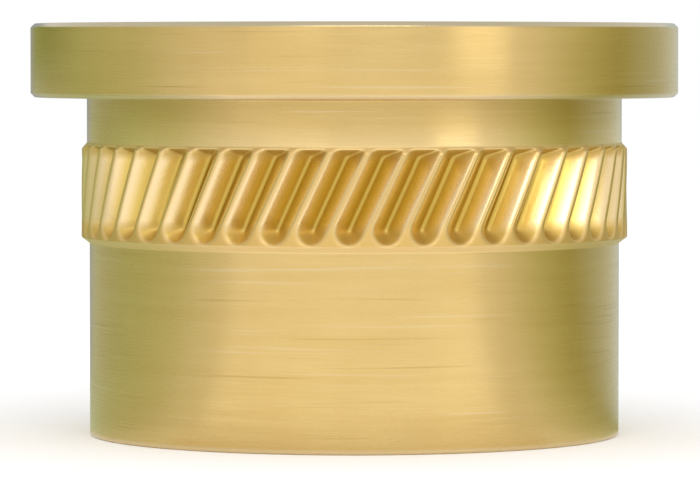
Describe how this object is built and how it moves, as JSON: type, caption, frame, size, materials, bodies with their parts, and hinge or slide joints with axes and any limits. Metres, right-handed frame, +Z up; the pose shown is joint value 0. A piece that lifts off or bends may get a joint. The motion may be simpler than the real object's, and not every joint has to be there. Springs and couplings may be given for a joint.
{
  "type": "compression limiter",
  "caption": "Turned brass compression limiter: a short flanged sleeve with a through bore for a bolt, a band of diagonal knurling under the flange and a plain pilot below it.",
  "frame": {"origin": "centre of the seating end, on the bore's axis", "axes": "+Z up along the bore's axis, from the seating end to the flange; +X and +Y lie in the seating end's plane"},
  "size_m": [0.0126, 0.0126, 0.008],
  "materials": {
    "brass": "fine turned, satin"
  },
  "bodies": {
    "root": {"limiter": "brass"}
  },
  "joints": []
}
